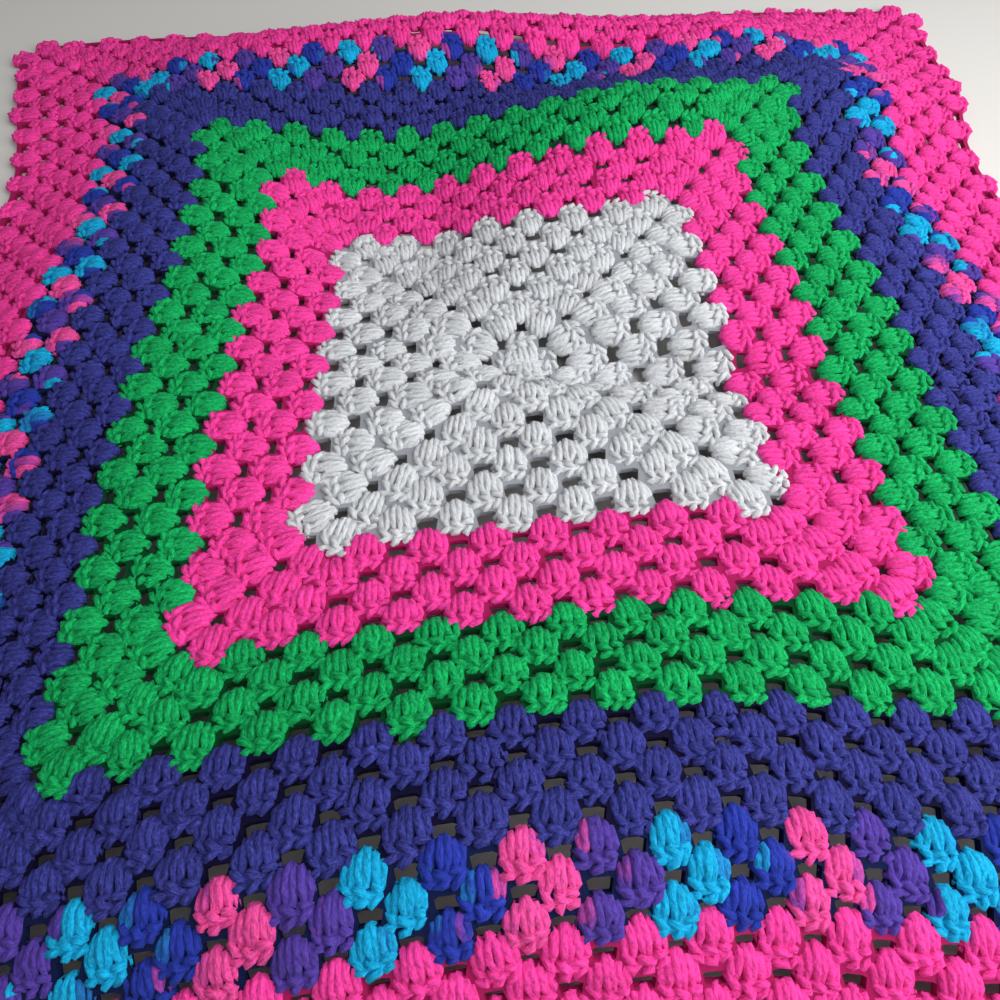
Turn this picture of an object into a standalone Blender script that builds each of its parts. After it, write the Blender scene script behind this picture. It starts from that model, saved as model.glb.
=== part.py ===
"""Granny square blanket, one crocheted cloth 0.6 m across, lying in soft folds.

Metres, +Z up. +X runs across the blanket, +Y away from its near edge. The origin is the
middle of its box, at the surface it lies on.

The cloth is worked from the middle outwards in square rounds. Round n has n clusters of
three stitches to a side, and each cluster stands in the space between two clusters of the
round before it. The shape is worked out twice: flat, where u and v are distances measured
in the cloth, and then lying, where the folds draw the cloth in and lift it.
"""
import math
from collections import namedtuple

import bmesh
import bpy
import numpy

MM = 0.001

# Driving sizes
THICKNESS = 5.0 * MM
WHITE_SPACE = 6.0 * MM       # side of the open space between clusters of the white rounds
CORNER_SPACE = 5.0 * MM      # side of the open corner space of a coloured round
SPACE_LEAD = 1.5 * MM        # a space lies this far outside its own round
ROUNDS_PER_CELL = 2          # coloured rounds in one row of the cloth's grid

# Bands of colour, from the middle out: the rounds worked in it and the height of one round
Band = namedtuple("Band", "name rounds round_height")
BANDS = (
    Band("white", 8, 12.0 * MM),
    Band("pink", 4, 10.5 * MM),
    Band("green", 4, 10.3 * MM),
    Band("purple", 4, 9.3 * MM),
    Band("variegated", 3, 9.5 * MM),
    Band("pink", 5, 11.2 * MM),
)

# Folds: where the middle of each lies on the flat cloth, which way its crest runs, how wide
# and long it is, and how far it lifts or lowers the cloth
Fold = namedtuple("Fold", "name across along turn half_width half_length rise")
FOLDS = (
    Fold("near swell", -45 * MM, -210 * MM, 0, 68 * MM, 150 * MM, 33 * MM),
    Fold("white crease", 44 * MM, -13 * MM, -13, 17 * MM, 87 * MM, -15 * MM),
    Fold("pink trough", -66 * MM, 103 * MM, -16, 85 * MM, 54 * MM, -22 * MM),
    Fold("green ridge", 88 * MM, 162 * MM, 0, 35 * MM, 70 * MM, 20 * MM),
    Fold("purple dip", 36 * MM, 234 * MM, 11, 28 * MM, 72 * MM, -13 * MM),
    Fold("far ridge", 0 * MM, 266 * MM, 0, 36 * MM, 173 * MM, 24 * MM),
    Fold("left swell", -154 * MM, -62 * MM, 84, 50 * MM, 118 * MM, 4 * MM),
    Fold("left ridge", -230 * MM, 60 * MM, 75, 44 * MM, 90 * MM, 10 * MM),
    Fold("right ridge", 230 * MM, 180 * MM, 6, 38 * MM, 72 * MM, 14 * MM),
)
MIDDLE_RISE = 17 * MM        # the slack middle stands this much off the surface
SIDE_MARGIN = 25 * MM        # the left and right rims lie flat over this much
SIDE_SLOPE = 110 * MM        # and the cloth comes down to them over this much
END_SLOPE = 80 * MM          # it comes down over this much to the near and far ends
FLAT_BELOW = 0.5 * MM        # cloth that would rise less than this lies flat

# Past the middle, the cloth is pulled together sideways
DRAW_IN = 0.062
DRAW_IN_ALONG = 130 * MM
DRAW_IN_REACH = 96 * MM

# Rounds waver in the plane of the cloth, most at the rim
SWAY = 3.0 * MM
SWAY_WAVE_U = 210 * MM
SWAY_WAVE_V = 170 * MM

TABLE_STEP = 3.0 * MM        # spacing at which the lying shape is worked out
STEEPEST = 0.95              # climb for each length of cloth, at most

# Yarns: colour, roughness
Yarn = namedtuple("Yarn", "name colour roughness")
YARNS = (
    Yarn("white", (0.70, 0.72, 0.75), 0.85),
    Yarn("pink", (0.86, 0.05, 0.29), 0.85),
    Yarn("green", (0.01, 0.32, 0.09), 0.85),
    Yarn("purple", (0.05, 0.04, 0.25), 0.85),
    Yarn("turquoise", (0.01, 0.35, 0.62), 0.85),
    Yarn("blue", (0.03, 0.05, 0.45), 0.85),
    Yarn("violet", (0.15, 0.07, 0.44), 0.85),
)
# The variegated yarn changes colour along its length, in this order
VARIEGATED_ORDER = ("turquoise", "blue", "pink", "violet")
VARIEGATED_LENGTH = 21 * MM  # stretch of a round worked in one colour


def round_edges():
    """Distance from the middle of the cloth to the outside of each round, 0 for the middle."""
    edges = [0.0]
    for band in BANDS:
        for _ in range(band.rounds):
            edges.append(edges[-1] + band.round_height)
    return edges


EDGES = round_edges()
HALF_SIDE = EDGES[-1]
WHITE_ROUNDS = BANDS[0].rounds
WHITE_HEIGHT = BANDS[0].round_height


def ease(share):
    share = numpy.clip(share, 0.0, 1.0)
    return share * share * (3.0 - 2.0 * share)


def rise_at(u, v):
    """Height of the cloth's middle surface over its lowest place, at flat places u, v."""
    from_sides = ease((HALF_SIDE - SIDE_MARGIN - abs(u)) / SIDE_SLOPE)
    from_ends = ease((HALF_SIDE - abs(v)) / END_SLOPE)
    rise = MIDDLE_RISE * from_sides * from_ends
    for fold in FOLDS:
        turn = math.radians(fold.turn)
        du = u - fold.across
        dv = v - fold.along
        lengthwise = du * math.cos(turn) + dv * math.sin(turn)
        crosswise = dv * math.cos(turn) - du * math.sin(turn)
        spread = (crosswise / fold.half_width) ** 2 + (lengthwise / fold.half_length) ** 2
        rise = rise + fold.rise * numpy.exp(-spread)
    return numpy.maximum(rise - FLAT_BELOW, 0.0)


class LyingCloth:
    """Turns a flat place into a place and a facing on the folded cloth."""

    def __init__(self):
        self.reach = math.ceil(HALF_SIDE * 1.05 / TABLE_STEP) * TABLE_STEP
        line = numpy.arange(-self.reach, self.reach + TABLE_STEP / 2, TABLE_STEP)
        u, v = numpy.meshgrid(line, line, indexing="ij")
        height = rise_at(u, v)
        climb_u, climb_v = numpy.gradient(height, TABLE_STEP)
        ground_u = numpy.sqrt(1.0 - numpy.minimum(climb_u ** 2, STEEPEST ** 2))
        ground_v = numpy.sqrt(1.0 - numpy.minimum(climb_v ** 2, STEEPEST ** 2))
        x = self.run_out(ground_u, 0)
        y = self.run_out(ground_v, 1)
        self.tables = (x, y, height, climb_u / ground_u, climb_v / ground_v)

    @staticmethod
    def run_out(step_share, axis):
        """Distance covered on the ground from the middle line, where folds shorten each step."""
        steps = numpy.moveaxis(step_share, axis, 0)
        between = (steps[1:] + steps[:-1]) * 0.5 * TABLE_STEP
        covered = numpy.concatenate([numpy.zeros_like(between[:1]), numpy.cumsum(between, axis=0)])
        covered = covered - covered[len(covered) // 2]
        return numpy.moveaxis(covered, 0, axis)

    def place(self, u, v):
        """Point on the middle surface and the unit direction the cloth faces there."""
        rim = max(abs(u), abs(v)) / HALF_SIDE
        swayed_u = u + SWAY * rim ** 2 * math.sin(2 * math.pi * v / SWAY_WAVE_V + 0.8)
        swayed_v = v + SWAY * rim ** 2 * math.sin(2 * math.pi * u / SWAY_WAVE_U + 2.0)
        pulled = DRAW_IN * math.exp(-((swayed_v - DRAW_IN_ALONG) / DRAW_IN_REACH) ** 2)
        swayed_u *= 1.0 - pulled
        column = (swayed_u + self.reach) / TABLE_STEP
        row = (swayed_v + self.reach) / TABLE_STEP
        i, j = int(column), int(row)
        a, b = column - i, row - j
        x, y, z, slope_u, slope_v = (
            table[i, j] * (1 - a) * (1 - b) + table[i + 1, j] * a * (1 - b)
            + table[i, j + 1] * (1 - a) * b + table[i + 1, j + 1] * a * b
            for table in self.tables)
        facing = numpy.array((-slope_u, -slope_v, 1.0))
        return numpy.array((x, y, z)), facing / numpy.linalg.norm(facing)


def grid_lines():
    """Flat places of the grid's lines: square cells in the white, then rows of two rounds.

    A white cell has one space at most, in its middle. The lines over the coloured rounds lie
    just outside every second round, so each cell on the diagonal holds one corner space.
    """
    inner = [(k + 0.5) * WHITE_HEIGHT for k in range(WHITE_ROUNDS + 1)]
    first = WHITE_ROUNDS + ROUNDS_PER_CELL
    outer = [EDGES[n] + SPACE_LEAD for n in range(first, len(EDGES) - 1, ROUNDS_PER_CELL)]
    positive = inner + outer + [HALF_SIDE]
    return [-place for place in reversed(positive)] + positive


def space_in_cell(low_u, high_u, low_v, high_v):
    """Centre and side of the open space that a grid cell holds, or None."""
    u = (low_u + high_u) / 2
    v = (low_v + high_v) / 2
    across = round(abs(u) / WHITE_HEIGHT)
    along = round(abs(v) / WHITE_HEIGHT)
    ring = max(across, along)
    if max(abs(u), abs(v)) < EDGES[WHITE_ROUNDS] + WHITE_HEIGHT / 2:
        in_corner = across == along and ring > 0
        between_clusters = (across + along) % 2 == 1
        squeezed_by_corner = min(across, along) == ring - 1 and ring > 1
        if not in_corner and (not between_clusters or squeezed_by_corner):
            return None
        lead_u = SPACE_LEAD * numpy.sign(u) if across == ring else 0.0
        lead_v = SPACE_LEAD * numpy.sign(v) if along == ring else 0.0
        return u + lead_u, v + lead_v, WHITE_SPACE
    if not math.isclose(abs(u), abs(v)):
        return None
    held = [edge + SPACE_LEAD for n, edge in enumerate(EDGES[:-1])
            if n > WHITE_ROUNDS and min(abs(low_u), abs(high_u)) < edge < max(abs(low_u), abs(high_u))
            and (n - WHITE_ROUNDS) % ROUNDS_PER_CELL == 1]
    if not held:
        return None
    return math.copysign(held[0], u), math.copysign(held[0], v), CORNER_SPACE


def yarn_at(u, v):
    """Name of the yarn that shows at a flat place."""
    out = max(abs(u), abs(v))
    first = 0
    for band in BANDS:
        first += band.rounds
        if out < EDGES[first] or band is BANDS[-1]:
            break
    if band.name != "variegated":
        return band.name
    along_round = u if abs(v) > abs(u) else v
    stretch = math.floor((along_round + out) / VARIEGATED_LENGTH)
    return VARIEGATED_ORDER[stretch % len(VARIEGATED_ORDER)]


def make_yarn(yarn):
    material = bpy.data.materials.new(yarn.name + " yarn")
    material.use_nodes = True
    shader = material.node_tree.nodes["Principled BSDF"]
    shader.inputs["Base Color"].default_value = (*yarn.colour, 1.0)
    shader.inputs["Roughness"].default_value = yarn.roughness
    shader.inputs["Metallic"].default_value = 0.0
    material.diffuse_color = (*yarn.colour, 1.0)
    return material


def make_blanket():
    """The whole cloth: an upper and a lower skin on one grid, joined at the rim and spaces."""
    cloth = LyingCloth()
    lines = grid_lines()
    work = bmesh.new()
    slots = [yarn.name for yarn in YARNS]

    def both_skins(u, v):
        point, facing = cloth.place(u, v)
        half = facing * THICKNESS / 2
        return work.verts.new(point + half), work.verts.new(point - half)

    def add_face(corners, u, v):
        face = work.faces.new(corners)
        face.material_index = slots.index(yarn_at(u, v))

    grid = [[both_skins(u, v) for v in lines] for u in lines]
    last = len(lines) - 1
    for i in range(last):
        for j in range(last):
            ring = [grid[i][j], grid[i + 1][j], grid[i + 1][j + 1], grid[i][j + 1]]
            u = (lines[i] + lines[i + 1]) / 2
            v = (lines[j] + lines[j + 1]) / 2
            space = space_in_cell(lines[i], lines[i + 1], lines[j], lines[j + 1])
            if space is None:
                add_face([corner[0] for corner in ring], u, v)
                add_face([corner[1] for corner in reversed(ring)], u, v)
                continue
            at_u, at_v, side = space
            hole = [both_skins(at_u + su * side / 2, at_v + sv * side / 2)
                    for su, sv in ((-1, -1), (1, -1), (1, 1), (-1, 1))]
            for k in range(4):
                here, there = k, (k + 1) % 4
                add_face([ring[here][0], ring[there][0], hole[there][0], hole[here][0]], u, v)
                add_face([hole[here][1], hole[there][1], ring[there][1], ring[here][1]], u, v)
                add_face([hole[here][0], hole[there][0], hole[there][1], hole[here][1]], u, v)
    for k in range(last):
        rim_runs = (
            (grid[k][0], grid[k + 1][0], lines[k], lines[0]),
            (grid[last][k], grid[last][k + 1], lines[last], lines[k]),
            (grid[last - k][last], grid[last - k - 1][last], lines[last - k], lines[last]),
            (grid[0][last - k], grid[0][last - k - 1], lines[0], lines[last - k]),
        )
        for start, end, u, v in rim_runs:
            add_face([start[1], end[1], end[0], start[0]], u, v)

    centre_on_box(work)
    mesh = bpy.data.meshes.new("blanket")
    work.to_mesh(mesh)
    work.free()
    for yarn in YARNS:
        mesh.materials.append(make_yarn(yarn))
    mesh.shade_smooth()
    mesh.set_sharp_from_angle(angle=math.radians(50))
    return mesh


def centre_on_box(work):
    """Moves the shape so that the middle of its box's underside is the origin."""
    places = numpy.array([vertex.co for vertex in work.verts])
    low = places.min(axis=0)
    high = places.max(axis=0)
    bmesh.ops.translate(work, verts=work.verts, vec=(-(low[0] + high[0]) / 2, -(low[1] + high[1]) / 2, -low[2]))


def clear_scene():
    for item in list(bpy.data.objects):
        bpy.data.objects.remove(item, do_unlink=True)


def main():
    clear_scene()
    blanket = bpy.data.objects.new("blanket", make_blanket())
    bpy.context.scene.collection.objects.link(blanket)


main()
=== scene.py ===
"""Granny square blanket: every stitch cluster in yarn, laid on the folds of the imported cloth.

Metres, +Z up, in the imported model's frame. A cluster is worked out in its own plane, then
set into the flat cloth, where u runs to the right and v away from the near edge, and then
laid on the folds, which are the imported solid's own.
"""
import math
from collections import namedtuple

import bpy
import numpy
from mathutils import Matrix, Vector
from mathutils.geometry import delaunay_2d_cdt


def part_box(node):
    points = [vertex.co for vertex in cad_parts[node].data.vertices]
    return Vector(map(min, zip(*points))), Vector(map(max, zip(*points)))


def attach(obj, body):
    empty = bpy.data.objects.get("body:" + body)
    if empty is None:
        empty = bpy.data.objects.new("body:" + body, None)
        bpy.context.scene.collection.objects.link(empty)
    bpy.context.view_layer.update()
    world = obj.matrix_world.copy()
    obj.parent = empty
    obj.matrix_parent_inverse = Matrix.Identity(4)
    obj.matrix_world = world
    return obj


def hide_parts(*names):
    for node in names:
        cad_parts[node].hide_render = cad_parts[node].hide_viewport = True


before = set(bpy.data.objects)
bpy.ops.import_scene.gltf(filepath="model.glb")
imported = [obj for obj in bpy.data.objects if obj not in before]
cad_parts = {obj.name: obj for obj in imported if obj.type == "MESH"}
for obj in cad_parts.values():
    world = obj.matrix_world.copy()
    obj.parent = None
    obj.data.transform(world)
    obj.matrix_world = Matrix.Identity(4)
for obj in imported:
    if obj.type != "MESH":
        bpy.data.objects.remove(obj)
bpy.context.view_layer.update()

MM = 0.001
SEED = 28

# ---------------------------------------------------------------- the cloth's own sizes
# Bands of colour, from the middle out: the rounds worked in it and the height of one round
Band = namedtuple("Band", "name rounds round_height")
BANDS = (
    Band("white", 8, 12.0 * MM),
    Band("pink", 4, 10.5 * MM),
    Band("green", 4, 10.3 * MM),
    Band("purple", 4, 9.3 * MM),
    Band("variegated", 3, 9.5 * MM),
    Band("pink", 5, 11.2 * MM),
)

# Folds: where the middle of each lies on the flat cloth, which way its crest runs, how wide
# and long it is, and how far it lifts or lowers the cloth
Fold = namedtuple("Fold", "name across along turn half_width half_length rise")
FOLDS = (
    Fold("near swell", -45 * MM, -210 * MM, 0, 68 * MM, 150 * MM, 33 * MM),
    Fold("white crease", 44 * MM, -13 * MM, -13, 17 * MM, 87 * MM, -15 * MM),
    Fold("pink trough", -66 * MM, 103 * MM, -16, 85 * MM, 54 * MM, -22 * MM),
    Fold("green ridge", 88 * MM, 162 * MM, 0, 35 * MM, 70 * MM, 20 * MM),
    Fold("purple dip", 36 * MM, 234 * MM, 11, 28 * MM, 72 * MM, -13 * MM),
    Fold("far ridge", 0 * MM, 266 * MM, 0, 36 * MM, 173 * MM, 24 * MM),
    Fold("left swell", -154 * MM, -62 * MM, 84, 50 * MM, 118 * MM, 4 * MM),
    Fold("left ridge", -230 * MM, 60 * MM, 75, 44 * MM, 90 * MM, 10 * MM),
    Fold("right ridge", 230 * MM, 180 * MM, 6, 38 * MM, 72 * MM, 14 * MM),
)
CAD_THICKNESS = 5.0 * MM
MIDDLE_RISE = 17 * MM        # the slack middle stands this much off the surface
SIDE_MARGIN = 25 * MM        # the left and right rims lie flat over this much
SIDE_SLOPE = 110 * MM        # and the cloth comes down to them over this much
END_SLOPE = 80 * MM          # it comes down over this much to the near and far ends
FLAT_BELOW = 0.5 * MM        # cloth that would rise less than this lies flat
DRAW_IN = 0.062              # past the middle, the cloth is pulled together sideways
DRAW_IN_ALONG = 130 * MM
DRAW_IN_REACH = 96 * MM
SWAY = 3.0 * MM              # rounds waver in the plane of the cloth, most at the rim
SWAY_WAVE_U = 210 * MM
SWAY_WAVE_V = 170 * MM
SWAY_PHASE_U = 2.0
SWAY_PHASE_V = 0.8
TABLE_STEP = 3.0 * MM        # spacing at which the lying shape is worked out
TABLE_REACH = 1.10           # of half the cloth's side
STEEPEST = 0.95              # climb for each length of cloth, at most
RIM_SAMPLES = 241            # along each side, to find the lying shape's box

# ---------------------------------------------------------------- the clusters' sizes
BASE_TUCK = 0.23             # of a round height, tucked under the round before
CORNER_LEAN = 17             # degrees that a corner cluster leans to the diagonal
CORNER_ASIDE = 4.3 * MM      # the two clusters of a corner start this far either side of it
CORNER_AHEAD = 0.10          # of a round height, outside the corner space they are worked in
MIDDLE_PITCH = 24 * MM

# How the yarn is worked in each piece: its first and last round, yarn radius, a cluster's
# width as a share of the pitch and its length in round heights, sides of the yarn's tube
Piece = namedtuple("Piece", "name slot yarn first last radius width length sides")
PIECES = (
    Piece("white_rounds", "white_yarn", "white", 1, 8, 1.62 * MM, 0.78, 1.56, 5),
    Piece("inner_pink_rounds", "pink_yarn", "pink", 9, 12, 1.62 * MM, 0.81, 1.61, 5),
    Piece("green_rounds", "green_yarn", "green", 13, 16, 1.60 * MM, 0.81, 1.61, 5),
    Piece("purple_rounds", "purple_yarn", "purple", 17, 20, 1.56 * MM, 0.80, 1.60, 5),
    Piece("variegated_rounds", "variegated_yarn", "variegated", 21, 23, 1.54 * MM, 0.77, 1.56, 5),
    Piece("outer_pink_rounds", "pink_yarn", "pink", 24, 25, 1.56 * MM, 0.80, 1.58, 5),
    Piece("rim_pink_rounds", "pink_yarn", "pink", 26, 28, 1.60 * MM, 0.80, 1.60, 4),
)
UNEVENNESS = 0.06            # of the yarn's radius, from point to point

# The dyed yarn comes back to the same colour after about four clusters: the length of the
# repeat in clusters, and where on the near side a turquoise cluster stands, in pitches
DyeRound = namedtuple("DyeRound", "number repeat turquoise_at")
DYE_ROUNDS = (
    DyeRound(21, 47 / 12, -3.0),
    DyeRound(22, 4.0, -2.5),
    DyeRound(23, 53 / 13, -3.0),
)

# Half-width of a cluster along its length, as a share of its widest: place, share
EGG = ((0.0, 0.64), (0.10, 0.82), (0.30, 0.96), (0.55, 1.0), (0.80, 0.99), (1.0, 0.82))
# Height of its middle over the cloth's middle surface: place, millimetres
BACK = ((0.0, 0.9), (0.12, 1.3), (0.4, 1.5), (0.65, 1.1), (0.84, 0.6), (0.94, 0.1), (1.0, -0.4))
SIDE_DROP = 2.1 * MM         # a cluster's sides lie this much lower than its middle

# The three stitches of a cluster. A post's yarn goes up one side of it, over the top and down
# the other: out, side of the post, lift
POSTS = (-1, 0, 1)
PostStep = namedtuple("PostStep", "out side lift")
POST_STEPS = (
    PostStep(0.00, -0.6, -1.9 * MM), PostStep(0.02, -0.85, -0.5 * MM), PostStep(0.12, -1.0, 0.0),
    PostStep(0.34, -0.85, 0.2 * MM), PostStep(0.58, -0.4, -0.7 * MM),
    PostStep(0.58, 0.9, -0.7 * MM), PostStep(0.34, 1.1, 0.2 * MM),
    PostStep(0.12, 1.0, 0.0), PostStep(0.02, 0.85, -0.5 * MM), PostStep(0.00, 0.6, -1.9 * MM),
)
POST_LANE = 0.655            # lane of an outer post
CORD_LANE = 0.165            # half the distance between the two sides of one post
BASE_ROUND = 0.45            # the sides of the base lie this much further out than its middle
BASE_ROUND_FADE = 1.6        # which has faded away by 1 / 1.6 of the length

# The plait along the outer end: each post ends in a sideways V, whose two legs run together.
# A leg's place along the plait in links, its distance from the plait's middle line, its lift
# and its thickness
LegStep = namedtuple("LegStep", "along away lift thickness")
LEG_STEPS = (
    LegStep(-0.05, 0.9, -0.9 * MM, 0.74), LegStep(0.17, 0.92, 0.5 * MM, 0.92),
    LegStep(0.56, 0.52, 0.9 * MM, 0.90), LegStep(0.88, 0.10, -0.5 * MM, 0.72),
)
LEG_AWAY = 0.155             # of the cluster's length
LINK_LANE = 0.64             # length of a link
LINK_START = 0.45            # a link starts this much of its length before its post
PLAIT_AT = 0.77              # of the cluster's length
PLAIT_BOW = 0.14             # the plait's ends lie this much further in than its middle
# The top of the stitches under the plait, which rounds off the outer end: lane, thickness
TopStep = namedtuple("TopStep", "lane thickness")
TOP_STEPS = (TopStep(-0.90, 1.1), TopStep(-0.40, 1.6), TopStep(0.40, 1.6), TopStep(0.90, 1.1))
TOP_LIFT = -1.5 * MM
FLOOR_CLEARANCE = 1.06       # of a strand's radius, from its middle down to the floor

# How much the handwork varies from cluster to cluster and along a strand, as a standard
# deviation. Shares are of the mean
LENGTH_VARIES = 0.04
WIDTH_VARIES = 0.035
TWIST_VARIES = 3.0           # degrees
PLACE_VARIES = 0.35 * MM
LIFT_VARIES = 0.25 * MM
THICKNESS_VARIES = 0.04
DYE_VARIES = 0.018           # of the dye's repeat
POST_WOBBLE = 0.25 * MM
LEG_WOBBLE = 0.38 * MM
WOBBLE_UP = 0.6              # of the wobble in the cloth's plane

# ---------------------------------------------------------------- the core's sizes
# Open spaces between the clusters: width along the round, height across it
Space = namedtuple("Space", "width height")
SPACES = {
    "white": Space(8.8 * MM, 6.4 * MM),
    "pink": Space(7.6 * MM, 4.3 * MM),
    "green": Space(7.4 * MM, 4.1 * MM),
    "purple": Space(7.8 * MM, 3.9 * MM),
    "variegated": Space(8.0 * MM, 4.4 * MM),
}
# Corners of a space, along the round and outwards, in halves of its width and height
SPACE_OUTLINE = ((-0.8, 1), (0.8, 1), (1, -0.7), (0.6, -1), (-0.6, -1), (-1, -0.7))
CORNER_OUTLINE = ((-1, 1), (1, 1), (1, -1), (-1, -1))
SPACE_LEAD = 0.57            # of the next round's height, outside a round's own edge
CORNER_SPACE = 6.0 * MM
CORNER_SPACE_BACK = 1.5 * MM # a corner space lies this far inside its round's corner
CORE_TOP = 0.6 * MM          # the core's two skins, from the cloth's middle surface
CORE_UNDER = -2.2 * MM
CORE_STEP = 5.0 * MM         # between the core's added points
CORE_BEND = 1.0 * MM         # how much the cloth bends over that step, where they are added
CORE_BLUNT = 6.0 * MM        # the core's own corners are cut back, under the corner clusters
INSIDE_WITH_HOLES = 2        # the kind of triangulation that leaves the spaces open
SAME_POINT = 1e-6


def round_bands():
    """Outer edge, height and band of each round, with the middle as round 0."""
    edges = [0.0]
    heights = [0.0]
    names = ["white"]
    for band in BANDS:
        for _ in range(band.rounds):
            edges.append(edges[-1] + band.round_height)
            heights.append(band.round_height)
            names.append(band.name)
    return edges, heights, names


EDGES, HEIGHTS, ROUND_BAND = round_bands()
HALF_SIDE = EDGES[-1]
LAST_ROUND = len(EDGES) - 1


def side_directions(side):
    """Outward and lengthwise directions of a side, anticlockwise from the near one."""
    turn = math.radians(90 * side)
    out = numpy.array([math.sin(turn), -math.cos(turn)])
    across = numpy.array([math.cos(turn), math.sin(turn)])
    return out, across


# ---------------------------------------------------------------- lying in folds
def ease(share):
    share = numpy.clip(share, 0.0, 1.0)
    return share * share * (3.0 - 2.0 * share)


def rise_at(u, v):
    """Height of the cloth's middle surface over its lowest place, at flat places u, v."""
    from_sides = ease((HALF_SIDE - SIDE_MARGIN - abs(u)) / SIDE_SLOPE)
    from_ends = ease((HALF_SIDE - abs(v)) / END_SLOPE)
    rise = MIDDLE_RISE * from_sides * from_ends
    for fold in FOLDS:
        turn = math.radians(fold.turn)
        du = u - fold.across
        dv = v - fold.along
        lengthwise = du * math.cos(turn) + dv * math.sin(turn)
        crosswise = dv * math.cos(turn) - du * math.sin(turn)
        spread = (crosswise / fold.half_width) ** 2 + (lengthwise / fold.half_length) ** 2
        rise = rise + fold.rise * numpy.exp(-spread)
    return numpy.maximum(rise - FLAT_BELOW, 0.0)


class LyingCloth:
    """Turns flat places into places on the folded cloth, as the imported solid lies."""

    def __init__(self):
        self.reach = math.ceil(HALF_SIDE * TABLE_REACH / TABLE_STEP) * TABLE_STEP
        line = numpy.arange(-self.reach, self.reach + TABLE_STEP / 2, TABLE_STEP)
        u, v = numpy.meshgrid(line, line, indexing="ij")
        height = rise_at(u, v)
        climb_u, climb_v = numpy.gradient(height, TABLE_STEP)
        ground_u = numpy.sqrt(1.0 - numpy.minimum(climb_u ** 2, STEEPEST ** 2))
        ground_v = numpy.sqrt(1.0 - numpy.minimum(climb_v ** 2, STEEPEST ** 2))
        x = self.run_out(ground_u, 0)
        y = self.run_out(ground_v, 1)
        self.tables = (x, y, height, climb_u / ground_u, climb_v / ground_v)
        self.shift = numpy.zeros(3)
        self.shift = self.shift_to_box()

    @staticmethod
    def run_out(step_share, axis):
        """Distance covered on the ground from the middle line, where folds shorten each step."""
        steps = numpy.moveaxis(step_share, axis, 0)
        between = (steps[1:] + steps[:-1]) * 0.5 * TABLE_STEP
        covered = numpy.concatenate([numpy.zeros_like(between[:1]), numpy.cumsum(between, axis=0)])
        covered = covered - covered[len(covered) // 2]
        return numpy.moveaxis(covered, 0, axis)

    def shift_to_box(self):
        """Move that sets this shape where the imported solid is, from its rim and its low side."""
        along = numpy.linspace(-HALF_SIDE, HALF_SIDE, RIM_SAMPLES)
        rim = numpy.full_like(along, HALF_SIDE)
        u = numpy.concatenate([along, along, rim, -rim])
        v = numpy.concatenate([rim, -rim, along, along])
        skins = [self.place(u, v, side * CAD_THICKNESS / 2) for side in (1, -1)]
        places = numpy.concatenate(skins)
        low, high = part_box("blanket")
        middle = (numpy.array(low) + numpy.array(high)) / 2
        shift = middle - (places.min(axis=0) + places.max(axis=0)) / 2
        shift[2] = low[2] + CAD_THICKNESS / 2
        return shift

    def place(self, u, v, lift):
        """Points lifted off the cloth's middle surface, square to it, at flat places u, v."""
        rim = numpy.maximum(abs(u), abs(v)) / HALF_SIDE
        wave_u = numpy.sin(2 * math.pi * v / SWAY_WAVE_V + SWAY_PHASE_V)
        wave_v = numpy.sin(2 * math.pi * u / SWAY_WAVE_U + SWAY_PHASE_U)
        swayed_u = u + SWAY * rim ** 2 * wave_u
        swayed_v = v + SWAY * rim ** 2 * wave_v
        pulled = DRAW_IN * numpy.exp(-((swayed_v - DRAW_IN_ALONG) / DRAW_IN_REACH) ** 2)
        swayed_u = swayed_u * (1.0 - pulled)
        column = (swayed_u + self.reach) / TABLE_STEP
        row = (swayed_v + self.reach) / TABLE_STEP
        i = numpy.floor(column).astype(int)
        j = numpy.floor(row).astype(int)
        a = column - i
        b = row - j
        x, y, z, slope_u, slope_v = (
            table[i, j] * (1 - a) * (1 - b) + table[i + 1, j] * a * (1 - b)
            + table[i, j + 1] * (1 - a) * b + table[i + 1, j + 1] * a * b
            for table in self.tables)
        facing = numpy.stack([-slope_u, -slope_v, numpy.ones_like(slope_u)], axis=-1)
        facing /= numpy.linalg.norm(facing, axis=-1, keepdims=True)
        lift = numpy.asarray(lift)[..., None]
        return numpy.stack([x, y, z], axis=-1) + facing * lift + self.shift


cloth = LyingCloth()


# ---------------------------------------------------------------- nodes and colours
def linear(hex_colour):
    """Linear RGBA of an sRGB hex colour."""
    parts = [int(hex_colour[k:k + 2], 16) / 255 for k in (1, 3, 5)]
    return (*[c / 12.92 if c <= 0.04045 else ((c + 0.055) / 1.055) ** 2.4 for c in parts], 1.0)


def add(tree, kind, settings=None, **links):
    """A new node: settings are its properties or its inputs' values, links feed its inputs.

    In links, an input's name has underscores for its spaces. A number in settings, or an
    underscore and a number in links, picks an input by its place.
    """
    node = tree.nodes.new(kind)
    for key, value in (settings or {}).items():
        if isinstance(key, int):
            node.inputs[key].default_value = value
        elif hasattr(node, key):
            setattr(node, key, value)
        else:
            node.inputs[key].default_value = value
    for key, source in links.items():
        place = int(key[1:]) if key[1:].isdigit() else key.replace("_", " ")
        tree.links.new(source, node.inputs[place])
    return node


def times(tree, *factors):
    """Output of the nodes that multiply the factors, one after another."""
    product = factors[0]
    for factor in factors[1:]:
        step = add(tree, "ShaderNodeMath", {"operation": "MULTIPLY"}, _0=product, _1=factor)
        product = step.outputs[0]
    return product


def swing(tree, noise, reach, middle, most):
    """Output that a noise moves up and down round a middle value, by a certain amount at most.

    It has moved the most where the noise is reach away from 0.5, its own middle.
    """
    ends = {"From Min": 0.5 - reach, "From Max": 0.5 + reach,
            "To Min": middle - most, "To Max": middle + most}
    return add(tree, "ShaderNodeMapRange", ends, Value=noise).outputs[0]


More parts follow.
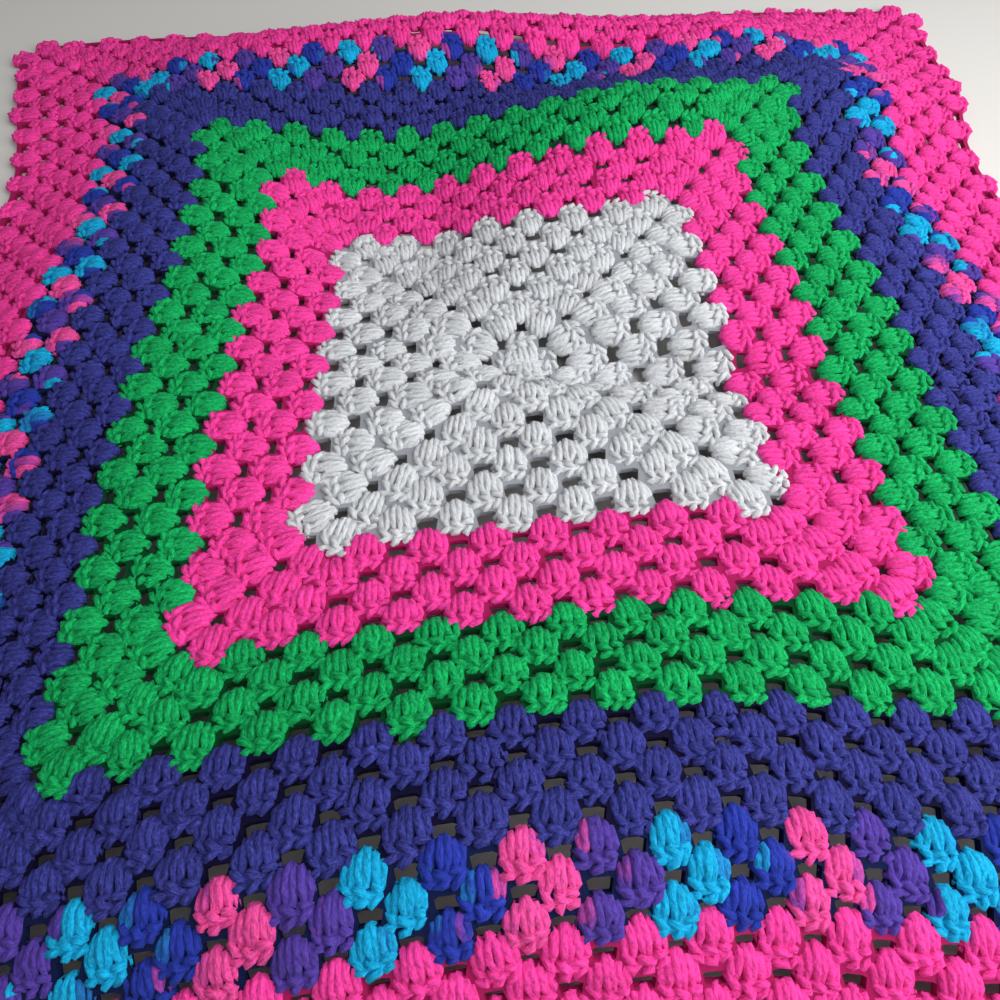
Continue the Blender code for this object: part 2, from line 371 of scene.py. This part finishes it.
def set_inputs(node, values):
    for key, value in values.items():
        node.inputs[key].default_value = value


def new_material(name):
    """A material, its node tree and its shader."""
    material = bpy.data.materials.new(name)
    material.use_nodes = True
    tree = material.node_tree
    return material, tree, tree.nodes["Principled BSDF"]


# ---------------------------------------------------------------- yarn paths
def clusters_of(number):
    """Flat base, outward and across directions of each cluster of one round, and its pitch.

    The four sides come one after another, anticlockwise from the near side, and the
    clusters of a side in the same sense, as the hook goes round.
    """
    inner_edge = EDGES[number - 1]
    pitch = 2 * inner_edge / (number - 1) if number > 1 else MIDDLE_PITCH
    bases, outs, lateral = [], [], []
    for side in range(4):
        out, across = side_directions(side)
        for k in range(number):
            place = (k - (number - 1) / 2) * pitch
            start = inner_edge - BASE_TUCK * HEIGHTS[number]
            lean = 0.0
            if number > 1 and k in (0, number - 1):
                towards = 1 if k else -1
                lean = math.radians(CORNER_LEAN) * towards
                place -= CORNER_ASIDE * towards
                start = inner_edge + CORNER_AHEAD * HEIGHTS[number]
            bases.append(out * start + across * place)
            outs.append(out * math.cos(lean) + across * math.sin(lean))
            lateral.append(across * math.cos(lean) - out * math.sin(lean))
    return numpy.array(bases), numpy.array(outs), numpy.array(lateral), pitch


def along_table(table, place):
    return numpy.interp(place, [row[0] for row in table], [row[1] for row in table])


class YarnPaths:
    """Centre lines of yarn on the lying cloth, kept until they are made into one mesh."""

    def __init__(self):
        self.points, self.thickness, self.tone, self.dye, self.along = [], [], [], [], []

    def take(self, points, thickness, tone, dye):
        """points is paths x steps x 3. The others are one value a path or one a step."""
        shape = points.shape[:2]
        lengths = numpy.linalg.norm(numpy.diff(points, axis=1), axis=2)
        start = numpy.zeros((shape[0], 1))
        self.points.append(points)
        self.thickness.append(numpy.broadcast_to(thickness, shape))
        self.tone.append(numpy.broadcast_to(tone, shape))
        self.dye.append(numpy.broadcast_to(dye, shape))
        self.along.append(numpy.concatenate([start, numpy.cumsum(lengths, axis=1)], axis=1))

    def mesh(self, name):
        """Loose edges through the points, with what the yarn needs kept on the points."""
        edges = []
        start = 0
        for points in self.points:
            paths, steps = points.shape[:2]
            numbers = start + numpy.arange(paths * steps).reshape(paths, steps)
            edges.append(numpy.stack([numbers[:, :-1], numbers[:, 1:]], axis=-1).reshape(-1, 2))
            start += paths * steps
        flat = numpy.concatenate([points.reshape(-1, 3) for points in self.points])
        mesh = bpy.data.meshes.new(name)
        mesh.from_pydata(flat.tolist(), numpy.concatenate(edges).tolist(), [])
        for key in ("thickness", "tone", "dye", "along"):
            values = numpy.concatenate([part.ravel() for part in getattr(self, key)])
            attribute = mesh.attributes.new(key, "FLOAT", "POINT")
            attribute.data.foreach_set("value", values.astype(numpy.float32))
        return mesh


class ClusterMaker:
    """Puts paths that are given in clusters' own places onto the cloth.

    A place is out (0 at the base, 1 at the outer end), lane (-1 to 1 across the widest
    part of the egg) and lift (over the cluster's back, in metres).
    """

    def __init__(self, number, piece, chance):
        self.bases, self.outs, self.lateral, pitch = clusters_of(number)
        self.count = len(self.bases)
        self.chance = chance
        longer = 1 + chance.normal(0, LENGTH_VARIES, self.count)
        wider = 1 + chance.normal(0, WIDTH_VARIES, self.count)
        self.length = piece.length * HEIGHTS[number] * longer
        self.half_width = pitch * piece.width / 2 * wider
        twist = chance.normal(0, math.radians(TWIST_VARIES), self.count)
        cos = numpy.cos(twist)[:, None]
        sin = numpy.sin(twist)[:, None]
        self.outs, self.lateral = (self.outs * cos + self.lateral * sin,
                                   self.lateral * cos - self.outs * sin)
        self.bases = self.bases + chance.normal(0, PLACE_VARIES, self.bases.shape)
        self.lift = chance.normal(0, LIFT_VARIES, self.count)
        self.radius = piece.radius

    def lay(self, out, lane, lift, wobble):
        """Points of one path in every cluster: clusters x steps x 3."""
        out, lane, lift = (numpy.asarray(values, dtype=float) for values in (out, lane, lift))
        shape = (self.count, len(out))
        half = self.half_width[:, None] - self.radius
        across = lane * half * along_table(EGG, out) + self.chance.normal(0, wobble, shape)
        forward = out * self.length[:, None] + self.chance.normal(0, wobble, shape)
        bulge = numpy.sin(math.pi * numpy.clip(out, 0, 1)) ** 0.5
        raised = along_table(BACK, out) * MM - SIDE_DROP * lane ** 2 * bulge
        uneven = self.chance.normal(0, wobble * WOBBLE_UP, shape)
        raised = raised + lift + self.lift[:, None] + uneven
        flat = (self.bases[:, None, :] + forward[..., None] * self.outs[:, None, :]
                + across[..., None] * self.lateral[:, None, :])
        return cloth.place(flat[..., 0], flat[..., 1], raised)


def dye_of(number, count):
    """Where the dyed yarn is in its repeat at each cluster's middle, and how far a post is on."""
    found = [row for row in DYE_ROUNDS if row.number == number]
    if not found:
        return numpy.zeros(count), 0.0
    row = found[0]
    first = row.turquoise_at + (number - 1) / 2
    return (numpy.arange(count) - first) / row.repeat, 1 / row.repeat / len(POSTS)


def work_cluster(maker, paths, number):
    """Adds the posts, the plait and the top under it, in every cluster of one round."""
    chance = maker.chance
    dye, post_share = dye_of(number, maker.count)

    def finish(points, thickness, post):
        tone = chance.normal(0, 1, (maker.count, 1))
        uneven_dye = chance.normal(0, DYE_VARIES, (maker.count, 1))
        drift = dye[:, None] + post * post_share + uneven_dye
        thickness = thickness * (1 + chance.normal(0, THICKNESS_VARIES, (maker.count, 1)))
        lowest = maker.radius * thickness * FLOOR_CLEARANCE
        points[..., 2] = numpy.maximum(points[..., 2], lowest)
        paths.take(points, thickness, tone, drift)

    lift = [step.lift for step in POST_STEPS]
    for post in POSTS:
        lane = numpy.array([post * POST_LANE + step.side * CORD_LANE for step in POST_STEPS])
        out = numpy.array([step.out for step in POST_STEPS])
        fading = numpy.clip(1 - BASE_ROUND_FADE * out, 0, 1)
        rounding = BASE_ROUND * (1 - numpy.sqrt(1 - lane ** 2)) * fading
        finish(maker.lay(out + rounding, lane, lift, POST_WOBBLE), 1.0, post)

    thickness = numpy.array([step.thickness for step in LEG_STEPS] * len(POSTS))
    for side in (-1, 1):
        out, lane, lift = [], [], []
        for link in POSTS:
            for step in LEG_STEPS:
                at = (link - LINK_START + step.along) * LINK_LANE
                lane.append(at)
                out.append(PLAIT_AT - PLAIT_BOW * at ** 2 + side * step.away * LEG_AWAY)
                lift.append(step.lift)
        finish(maker.lay(out, lane, lift, LEG_WOBBLE), thickness, 0)

    lane = numpy.array([step.lane for step in TOP_STEPS])
    thickness = numpy.array([step.thickness for step in TOP_STEPS])
    out = PLAIT_AT - PLAIT_BOW * lane ** 2
    finish(maker.lay(out, lane, [TOP_LIFT] * len(lane), POST_WOBBLE), thickness, 0)


# ---------------------------------------------------------------- yarn tubes
def yarn_tree():
    """Node tree that turns yarn centre lines into tubes of uneven thickness."""
    tree = bpy.data.node_groups.new("yarn along its path", "GeometryNodeTree")
    inputs = (("Paths", "Geometry"), ("Yarn radius", "Float"), ("Unevenness", "Float"),
              ("Sides", "Int"), ("Seed", "Int"), ("Yarn", "Material"))
    for name, kind in inputs:
        tree.interface.new_socket(name, in_out="INPUT", socket_type="NodeSocket" + kind)
    tree.interface.new_socket("Yarn", in_out="OUTPUT", socket_type="NodeSocketGeometry")
    given = add(tree, "NodeGroupInput").outputs
    lines = add(tree, "GeometryNodeMeshToCurve", Mesh=given["Paths"])
    share = add(tree, "GeometryNodeInputNamedAttribute", {"data_type": "FLOAT", "Name": "thickness"})
    least = add(tree, "ShaderNodeMath", {"operation": "SUBTRACT", 0: 1.0}, _1=given["Unevenness"])
    most = add(tree, "ShaderNodeMath", {"operation": "ADD", 0: 1.0}, _1=given["Unevenness"])
    uneven = add(tree, "FunctionNodeRandomValue", {"data_type": "FLOAT"},
                 _2=least.outputs[0], _3=most.outputs[0], Seed=given["Seed"])
    radius = times(tree, share.outputs["Attribute"], given["Yarn radius"], uneven.outputs[1])
    ring = add(tree, "GeometryNodeCurvePrimitiveCircle", {"Radius": 1.0}, Resolution=given["Sides"])
    place = add(tree, "GeometryNodeInputPosition")
    kept = add(tree, "GeometryNodeStoreNamedAttribute",
               {"data_type": "FLOAT_VECTOR", "domain": "POINT", "Name": "around"},
               Geometry=ring.outputs[0], Value=place.outputs[0])
    tube = add(tree, "GeometryNodeCurveToMesh", {"Fill Caps": True},
               Curve=lines.outputs[0], Profile_Curve=kept.outputs[0], Scale=radius)
    smooth = add(tree, "GeometryNodeSetShadeSmooth", Geometry=tube.outputs[0])
    real = add(tree, "GeometryNodeRealizeInstances", Geometry=smooth.outputs[0])
    dressed = add(tree, "GeometryNodeSetMaterial", Geometry=real.outputs[0], Material=given["Yarn"])
    add(tree, "NodeGroupOutput", Yarn=dressed.outputs[0])
    return tree


def socket_named(tree, name):
    return next(item.identifier for item in tree.interface.items_tree
                if item.name == name and item.in_out == "INPUT")


def made_plain(name, paths, tree, inputs):
    """A mesh object of the tubes that the tree makes, with no modifier left on it."""
    source = bpy.data.objects.new(name + "_paths", paths.mesh(name + "_paths"))
    bpy.context.scene.collection.objects.link(source)
    modifier = source.modifiers.new("yarn", "NODES")
    modifier.node_group = tree
    for key, value in inputs.items():
        modifier[socket_named(tree, key)] = value
    bpy.context.view_layer.update()
    graph = bpy.context.evaluated_depsgraph_get()
    mesh = bpy.data.meshes.new_from_object(source.evaluated_get(graph), depsgraph=graph)
    mesh.name = name
    mesh.materials.clear()
    mesh.materials.append(inputs["Yarn"])
    bpy.data.objects.remove(source, do_unlink=True)
    piece = bpy.data.objects.new(name, mesh)
    bpy.context.scene.collection.objects.link(piece)
    return piece


# ---------------------------------------------------------------- materials
PLY_COUNT = 3
PLY_PITCH = 13 * MM          # one turn of the plies along the yarn
PLY_BACK = 0.4               # where the groove ends, in a wave from -1 to 1 across each ply
PLY_RELIEF = 0.16 * MM
YARN_RADIUS = 1.58 * MM
FIBRE_WIDTH = 0.64 * MM      # coarser than real fibres, which the picture could not show
FIBRE_STRETCH = 1.8          # streaks of fibre are this much longer than wide
FIBRE_RELIEF = 0.62 * MM
LIGHT_REACH = 1.2 * MM       # light goes this far through the haze of fibres
PATCH_WIDTH = 14 * MM        # patches of yarn that are a little lighter or darker
PATCH_SHADE = 0.07
DYE_WANDER = 0.02            # of the dye's repeat, over a patch
DYE_BLEND = 0.14             # of a colour's stretch, at each end of it
CORE_FIBRE_WIDTH = 0.8 * MM
CORE_FIBRE_RELIEF = 0.3 * MM


def ply_grooves(tree, around, along):
    """0 in the grooves between the plies and 1 on their backs. They wind round the yarn."""
    split = add(tree, "ShaderNodeSeparateXYZ", _0=around)
    angle = add(tree, "ShaderNodeMath", {"operation": "ARCTAN2"},
                _0=split.outputs["Y"], _1=split.outputs["X"])
    plies = add(tree, "ShaderNodeMath", {"operation": "MULTIPLY", 1: PLY_COUNT}, _0=angle.outputs[0])
    winding = 2 * math.pi * PLY_COUNT / PLY_PITCH
    turns = add(tree, "ShaderNodeMath", {"operation": "MULTIPLY", 1: winding}, _0=along)
    phase = add(tree, "ShaderNodeMath", {"operation": "ADD"}, _0=plies.outputs[0], _1=turns.outputs[0])
    wave = add(tree, "ShaderNodeMath", {"operation": "COSINE"}, _0=phase.outputs[0])
    ends = {"interpolation_type": "SMOOTHSTEP", "From Min": -1.0, "From Max": PLY_BACK}
    return add(tree, "ShaderNodeMapRange", ends, Value=wave.outputs[0]).outputs[0]


def fibre_noise(tree, around, along, tone):
    """Streaks of fibre along the yarn. The tone makes them differ from strand to strand."""
    round_yarn = add(tree, "ShaderNodeVectorMath", {"operation": "SCALE", "Scale": YARN_RADIUS},
                     _0=around)
    drawn_out = add(tree, "ShaderNodeMath", {"operation": "MULTIPLY", 1: 1 / FIBRE_STRETCH}, _0=along)
    lengthwise = add(tree, "ShaderNodeCombineXYZ", X=tone, Z=drawn_out.outputs[0])
    in_yarn = add(tree, "ShaderNodeVectorMath", {"operation": "ADD"},
                  _0=round_yarn.outputs[0], _1=lengthwise.outputs[0])
    grain = {"Scale": 1 / FIBRE_WIDTH, "Detail": 3.0, "Roughness": 0.7}
    return add(tree, "ShaderNodeTexNoise", grain, Vector=in_yarn.outputs[0]).outputs[0]


def dyed_colour(tree, colours, patches):
    """Colour of dyed yarn, from where it is in the dye's repeat, blended between stretches."""
    dye = add(tree, "ShaderNodeAttribute", {"attribute_name": "dye"})
    share = 1 / len(colours)
    shifted = add(tree, "ShaderNodeMath", {"operation": "ADD", 1: share / 2}, _0=dye.outputs["Fac"])
    wander = swing(tree, patches, 0.15, 0.0, DYE_WANDER)
    wandered = add(tree, "ShaderNodeMath", {"operation": "ADD"}, _0=shifted.outputs[0], _1=wander)
    repeat = add(tree, "ShaderNodeMath", {"operation": "FRACT"}, _0=wandered.outputs[0])
    ramp = add(tree, "ShaderNodeValToRGB", Fac=repeat.outputs[0])
    marks = ramp.color_ramp.elements
    marks[0].color = linear(colours[0])
    marks[1].position = (1 - DYE_BLEND) * share
    marks[1].color = linear(colours[0])
    for k, colour in enumerate(colours[1:], 1):
        for at in (k + DYE_BLEND, k + 1 - DYE_BLEND):
            mark = marks.new(at * share)
            mark.color = linear(colour)
    return ramp.outputs[0]


def spun_yarn(name, colours, grooves, tones, streaks):
    """Plied yarn: its plies run slantwise round it, with painted shade in the grooves between them.

    colours is one hex colour, or the colours that a dyed yarn goes through in one repeat.
    grooves is how much the painted shade darkens the grooves, tones how much lightness varies
    from strand to strand, and streaks how much it varies over the fibres.
    """
    material, tree, shader = new_material(name)
    shader.subsurface_method = "BURLEY"
    set_inputs(shader, {
        "Roughness": 0.88,
        "Specular IOR Level": 0.12,
        "Subsurface Weight": 0.6,
        "Subsurface Radius": (1.0, 1.0, 1.0),
        "Subsurface Scale": LIGHT_REACH,
        "Sheen Weight": 0.08,
        "Sheen Roughness": 0.45,
        "Sheen Tint": [c + (1 - c) * 0.15 for c in linear(colours[0])],
    })
    around = add(tree, "ShaderNodeAttribute", {"attribute_name": "around"}).outputs["Vector"]
    along = add(tree, "ShaderNodeAttribute", {"attribute_name": "along"}).outputs["Fac"]
    tone = add(tree, "ShaderNodeAttribute", {"attribute_name": "tone"}).outputs["Fac"]
    place = add(tree, "ShaderNodeTexCoord").outputs["Object"]
    groove = ply_grooves(tree, around, along)
    fibres = fibre_noise(tree, around, along, tone)
    patches = add(tree, "ShaderNodeTexNoise", {"Scale": 1 / PATCH_WIDTH, "Detail": 2.0},
                  Vector=place).outputs[0]

    lightness = add(tree, "ShaderNodeMath", {"operation": "MULTIPLY_ADD", 1: tones, 2: 1.0}, _0=tone)
    # Painted shade: the colour is darkened in the grooves between the plies, by grooves at most
    painted_groove_shade = add(tree, "ShaderNodeMapRange", {"To Min": 1.0 - grooves, "To Max": 1.0}, Value=groove)
    shade = times(tree, lightness.outputs[0], swing(tree, patches, 0.2, 1.0, PATCH_SHADE),
                  swing(tree, fibres, 0.14, 1.0, streaks), painted_groove_shade.outputs[0])
    tint = add(tree, "ShaderNodeVectorMath", {"operation": "SCALE"}, Scale=shade)
    if len(colours) == 1:
        tint.inputs[0].default_value = linear(colours[0])[:3]
    else:
        tree.links.new(dyed_colour(tree, colours, patches), tint.inputs[0])
    tree.links.new(tint.outputs[0], shader.inputs["Base Color"])

    plies = add(tree, "ShaderNodeBump", {"Strength": 1.0, "Distance": PLY_RELIEF}, Height=groove)
    relief = add(tree, "ShaderNodeBump", {"Strength": 1.0, "Distance": FIBRE_RELIEF},
                 Height=fibres, Normal=plies.outputs[0])
    tree.links.new(relief.outputs[0], shader.inputs["Normal"])
    return material


DYES = ("#16A6D6", "#28379E", "#EC4E9C", "#543C9A")
yarns = {
    # Cotton blend, the smoothest of the yarns: matt, in soft plies with cool grey shadow
    "white": spun_yarn("plied cotton blend, white", ("#CFD1D4",),
                       grooves=0.08, tones=0.03, streaks=0.12),
    # Acrylic, brushed by use: bright, with a haze of fine fibre that softens every edge
    "pink": spun_yarn("plied acrylic, hot pink", ("#F2429E",),
                      grooves=0.10, tones=0.05, streaks=0.28),
    # The same in green, where paler fibres show more against the dye
    "green": spun_yarn("plied acrylic, green", ("#12A65A",),
                       grooves=0.10, tones=0.06, streaks=0.46),
    # The same in dark violet, where they show most
    "purple": spun_yarn("plied acrylic, dark violet", ("#373A86",),
                        grooves=0.10, tones=0.06, streaks=0.54),
    # Acrylic dyed in stretches, so the colour changes along the yarn and not with the rounds
    "variegated": spun_yarn("plied acrylic, dyed in stretches", DYES,
                            grooves=0.10, tones=0.05, streaks=0.30),
}

# Painted shade of the yarn deep inside the stitches, where little light gets in: its colours, darkened
CORE_SHADES = {
    "white": "#93969C",
    "pink": "#A01C56",
    "green": "#05401F",
    "purple": "#0F0D2C",
    "variegated": "#101A40",
}


def core_yarn_in_painted_shade():
    """Yarn deep inside the stitches: the same colours, darkened as painted shade, in bands from the
    middle out.
    """
    material, tree, shader = new_material("painted shade of the yarn deep in the stitches")
    set_inputs(shader, {"Roughness": 0.95, "Specular IOR Level": 0.1})
    away = add(tree, "ShaderNodeAttribute", {"attribute_name": "out"})
    share = add(tree, "ShaderNodeMath", {"operation": "DIVIDE", 1: HALF_SIDE}, _0=away.outputs["Fac"])
    ramp = add(tree, "ShaderNodeValToRGB", Fac=share.outputs[0])
    ramp.color_ramp.interpolation = "CONSTANT"
    marks = ramp.color_ramp.elements
    edge = 0.0
    for k, band in enumerate(BANDS):
        mark = marks[0] if k == 0 else marks.new(edge / HALF_SIDE)
        mark.color = linear(CORE_SHADES[band.name])
        edge += band.rounds * band.round_height
    marks.remove(marks[len(marks) - 1])  # the one at the end that a new ramp comes with
    place = add(tree, "ShaderNodeTexCoord").outputs["Object"]
    fibres = add(tree, "ShaderNodeTexNoise", {"Scale": 1 / CORE_FIBRE_WIDTH, "Detail": 2.0},
                 Vector=place)
    relief = add(tree, "ShaderNodeBump", {"Strength": 1.0, "Distance": CORE_FIBRE_RELIEF},
                 Height=fibres.outputs[0])
    tree.links.new(ramp.outputs[0], shader.inputs["Base Color"])
    tree.links.new(relief.outputs[0], shader.inputs["Normal"])
    return material


# ---------------------------------------------------------------- the core of the cloth
def space_places():
    """Corners of every open space in the flat cloth."""
    places = []
    for number in range(1, LAST_ROUND):
        space = SPACES[ROUND_BAND[number + 1]]
        pitch = 2 * EDGES[number] / number
        middle = EDGES[number] + SPACE_LEAD * HEIGHTS[number + 1]
        for side in range(4):
            out, across = side_directions(side)
            for k in range(number):
                if number > 1 and k in (0, number - 1):
                    continue
                along = (k - (number - 1) / 2) * pitch
                places.append([out * (middle + b * space.height / 2)
                               + across * (along + a * space.width / 2)
                               for a, b in SPACE_OUTLINE])
            diagonal = (out + across) * (EDGES[number] - CORNER_SPACE_BACK)
            half = CORNER_SPACE / 2
            places.append([diagonal + out * b * half + across * a * half
                           for a, b in CORNER_OUTLINE])
    return places


def bent_places():
    """Flat places where the folds bend most, so that the core follows them closely."""
    line = numpy.arange(-HALF_SIDE + CORE_STEP, HALF_SIDE - CORE_STEP / 2, CORE_STEP)
    u, v = numpy.meshgrid(line, line, indexing="ij")
    near = [rise_at(u + du * CORE_STEP, v + dv * CORE_STEP)
            for du, dv in ((1, 0), (-1, 0), (0, 1), (0, -1))]
    bend = abs(sum(near) - 4 * rise_at(u, v))
    bent = bend > CORE_BEND
    return numpy.stack([u[bent], v[bent]], axis=-1)


def rim_places():
    """Flat places along the rim, one for each cluster of the last round."""
    places = []
    for side in range(4):
        out, across = side_directions(side)
        for k in range(LAST_ROUND):
            blunt = 0.0 if k else CORE_BLUNT
            places.append((out * HALF_SIDE + across * (2 * k / LAST_ROUND - 1) * HALF_SIDE)
                          * (1 - blunt / HALF_SIDE))
    return places


def flat_core():
    """Corners and faces of the core on the flat cloth, with the spaces left open."""
    flat = [Vector(place) for place in rim_places()]
    loops = [list(range(len(flat)))]
    flat.extend(Vector(place) for place in bent_places())
    for space in space_places():
        start = len(flat)
        flat.extend(Vector(place) for place in space)
        loops.append(list(range(start, start + len(space))))
    found = delaunay_2d_cdt(flat, [], loops, INSIDE_WITH_HOLES, SAME_POINT)
    places = numpy.array([tuple(place) for place in found[0]])
    faces = [tuple(face) for face, loops_round_it in zip(found[2], found[5])
             if not any(loop > 0 for loop in loops_round_it)]
    return places, faces


def core_mesh():
    """A thin sheet in the middle of the cloth, open wherever the crochet is open."""
    places, faces = flat_core()
    u, v = places[:, 0], places[:, 1]
    count = len(places)
    upper = cloth.place(u, v, numpy.full(count, CORE_TOP))
    lower = cloth.place(u, v, numpy.full(count, CORE_UNDER))
    sides = [side for face in faces for side in zip(face, face[1:] + face[:1])]
    known = set(sides)
    walls = [(here, here + count, there + count, there)
             for here, there in sides if (there, here) not in known]
    under = [tuple(k + count for k in reversed(face)) for face in faces]
    mesh = bpy.data.meshes.new("core")
    mesh.from_pydata(numpy.concatenate([upper, lower]).tolist(), [], faces + under + walls)
    away = numpy.maximum(abs(u), abs(v))
    attribute = mesh.attributes.new("out", "FLOAT", "POINT")
    attribute.data.foreach_set("value", numpy.concatenate([away, away]).astype(numpy.float32))
    mesh.validate()
    return mesh


# ---------------------------------------------------------------- the pieces
def make_bands():
    tree = yarn_tree()
    made = []
    for order, piece in enumerate(PIECES):
        chance = numpy.random.default_rng(SEED + order)
        paths = YarnPaths()
        for number in range(piece.first, piece.last + 1):
            work_cluster(ClusterMaker(number, piece, chance), paths, number)
        inputs = {"Yarn radius": piece.radius, "Unevenness": UNEVENNESS, "Sides": piece.sides,
                  "Seed": SEED + order, "Yarn": yarns[piece.yarn]}
        rounds = made_plain(piece.name, paths, tree, inputs)
        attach(rounds, "root")
        made.append(rounds)
    return made


bands = make_bands()
core = bpy.data.objects.new("core", core_mesh())
# The core's colours are painted shade: each band's yarn colour, darkened
core.data.materials.append(core_yarn_in_painted_shade())
bpy.context.scene.collection.objects.link(core)
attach(core, "root")
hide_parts("blanket")


# ---------------------------------------------------------------- floor, light, camera
FLOOR_HALF = 3.0
# Soft square lamps, aimed at the origin: place and side in metres, power in watts. The key
# stands close by on the right, so its light falls off to the left and to the far side
Lamp = namedtuple("Lamp", "name place size power")
LAMPS = (
    Lamp("key", (0.46, -0.20, 0.50), 0.9, 8.9),
    Lamp("fill", (-0.7, -0.5, 1.0), 1.4, 1.8),
)
ROOM_LIGHT = 0.26

# The camera, in the flat cloth's frame: what it looks at, how far off, how steep and which way
LOOK_AT = Vector((-17.46 * MM, -70.41 * MM, 0.0))
DISTANCE = 323.07 * MM
ELEVATION = 60.06
AZIMUTH = 4.74
ROLL = 0.04
PICTURE_WIDTH = 1000
FOCAL_PIXELS = 745.83        # for a picture of that width
SENSOR_WIDTH = 36.0          # millimetres


def plain_floor():
    corners = [(x * FLOOR_HALF, y * FLOOR_HALF, 0) for x, y in ((-1, -1), (1, -1), (1, 1), (-1, 1))]
    mesh = bpy.data.meshes.new("floor")
    mesh.from_pydata(corners, [], [(0, 1, 2, 3)])
    floor = bpy.data.objects.new("floor", mesh)
    # Matt and pale, so that nothing but the blanket takes the eye
    material, _, shader = new_material("pale studio floor")
    set_inputs(shader, {"Base Color": linear("#D9D7D2"), "Roughness": 0.9})
    mesh.materials.append(material)
    bpy.context.scene.collection.objects.link(floor)


def soft_light():
    for lamp in LAMPS:
        light = bpy.data.lights.new(lamp.name, "AREA")
        light.size = lamp.size
        light.energy = lamp.power
        holder = bpy.data.objects.new(lamp.name, light)
        holder.location = lamp.place
        holder.rotation_euler = (-Vector(lamp.place)).to_track_quat("-Z", "Y").to_euler()
        bpy.context.scene.collection.objects.link(holder)
    world = bpy.data.worlds.new("room")
    world.use_nodes = True
    set_inputs(world.node_tree.nodes["Background"],
               {"Color": linear("#E9EBEF"), "Strength": ROOM_LIGHT})
    bpy.context.scene.world = world
    bpy.context.scene.view_settings.view_transform = "Standard"


def set_camera():
    elevation, azimuth, roll = (math.radians(angle) for angle in (ELEVATION, AZIMUTH, ROLL))
    ahead = Vector((math.cos(elevation) * math.sin(azimuth), math.cos(elevation) * math.cos(azimuth),
                    -math.sin(elevation)))
    level = Vector((math.cos(azimuth), -math.sin(azimuth), 0.0))
    upright = level.cross(ahead)
    right = level * math.cos(roll) + upright * math.sin(roll)
    top = upright * math.cos(roll) - level * math.sin(roll)
    camera = bpy.data.cameras.new("camera")
    camera.sensor_width = SENSOR_WIDTH
    camera.lens = FOCAL_PIXELS / PICTURE_WIDTH * SENSOR_WIDTH
    camera.clip_start = 10 * MM
    holder = bpy.data.objects.new("camera", camera)
    turned = Matrix((right, top, -ahead)).transposed().to_4x4()
    turned.translation = LOOK_AT - ahead * DISTANCE + Vector(cloth.shift)
    holder.matrix_world = turned
    bpy.context.scene.collection.objects.link(holder)
    bpy.context.scene.camera = holder


plain_floor()
soft_light()
set_camera()
